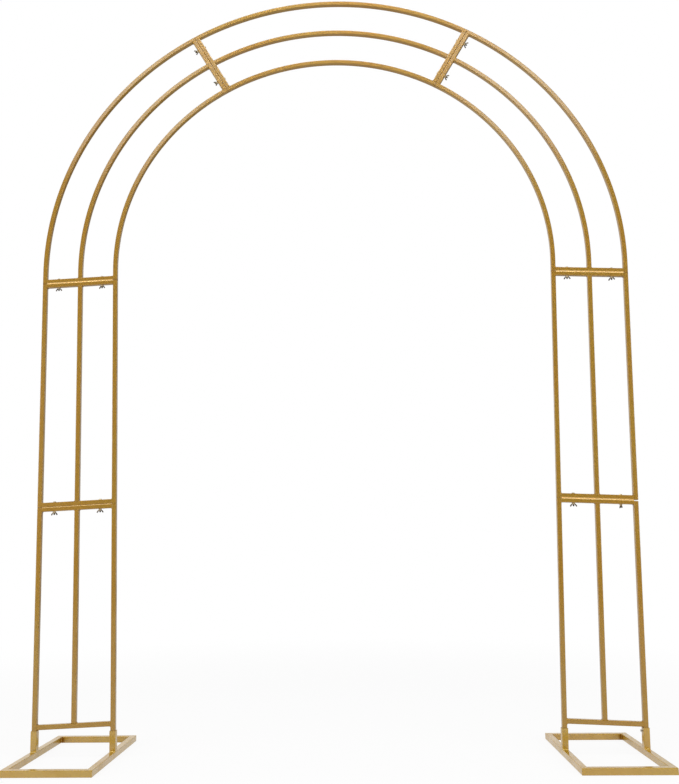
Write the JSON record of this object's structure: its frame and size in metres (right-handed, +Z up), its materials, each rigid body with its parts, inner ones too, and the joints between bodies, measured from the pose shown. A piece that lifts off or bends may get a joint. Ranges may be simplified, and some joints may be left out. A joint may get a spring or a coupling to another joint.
{
  "type": "wedding arch",
  "caption": "Free-standing round-topped wedding arch of square gold tube in bolted ladder-like panels, on two rectangular base frames.",
  "frame": {"origin": "on the floor, midway between the two base frames and between front and back", "axes": "+X to the right seen from the front, +Y to the back, +Z up"},
  "size_m": [1.8494, 0.4, 2.4005],
  "materials": {
    "gold_panel": "glossy metallic gold paint",
    "gold_base": "glossy metallic gold paint",
    "zinc_fastener": "bright zinc plating"
  },
  "bodies": {
    "root": {"left_lower_leg_outer_tube": "gold_panel", "left_lower_leg_middle_tube": "gold_panel", "left_lower_leg_inner_tube": "gold_panel", "left_lower_leg_rails": "gold_panel", "left_upper_leg_outer_tube": "gold_panel", "left_upper_leg_middle_tube": "gold_panel", "left_upper_leg_inner_tube": "gold_panel", "left_upper_leg_rails": "gold_panel", "left_arch_outer_tube": "gold_panel", "left_arch_middle_tube": "gold_panel", "left_arch_inner_tube": "gold_panel", "left_arch_rails": "gold_panel", "crown_outer_tube": "gold_panel", "crown_middle_tube": "gold_panel", "crown_inner_tube": "gold_panel", "crown_rails": "gold_panel", "right_arch_outer_tube": "gold_panel", "right_arch_middle_tube": "gold_panel", "right_arch_inner_tube": "gold_panel", "right_arch_rails": "gold_panel", "right_upper_leg_outer_tube": "gold_panel", "right_upper_leg_middle_tube": "gold_panel", "right_upper_leg_inner_tube": "gold_panel", "right_upper_leg_rails": "gold_panel", "right_lower_leg_outer_tube": "gold_panel", "right_lower_leg_middle_tube": "gold_panel", "right_lower_leg_inner_tube": "gold_panel", "right_lower_leg_rails": "gold_panel", "left_base_front_bar": "gold_base", "left_base_rear_bar": "gold_base", "left_base_outer_bar": "gold_base", "left_base_inner_bar": "gold_base", "left_sockets": "gold_base", "right_base_front_bar": "gold_base", "right_base_rear_bar": "gold_base", "right_base_outer_bar": "gold_base", "right_base_inner_bar": "gold_base", "right_sockets": "gold_base", "socket_screws": "zinc_fastener", "lower_joint_bolts": "zinc_fastener", "lower_joint_wing_nuts": "zinc_fastener", "springing_bolts": "zinc_fastener", "springing_wing_nuts": "zinc_fastener", "crown_bolts": "zinc_fastener", "crown_wing_nuts": "zinc_fastener"}
  },
  "joints": []
}
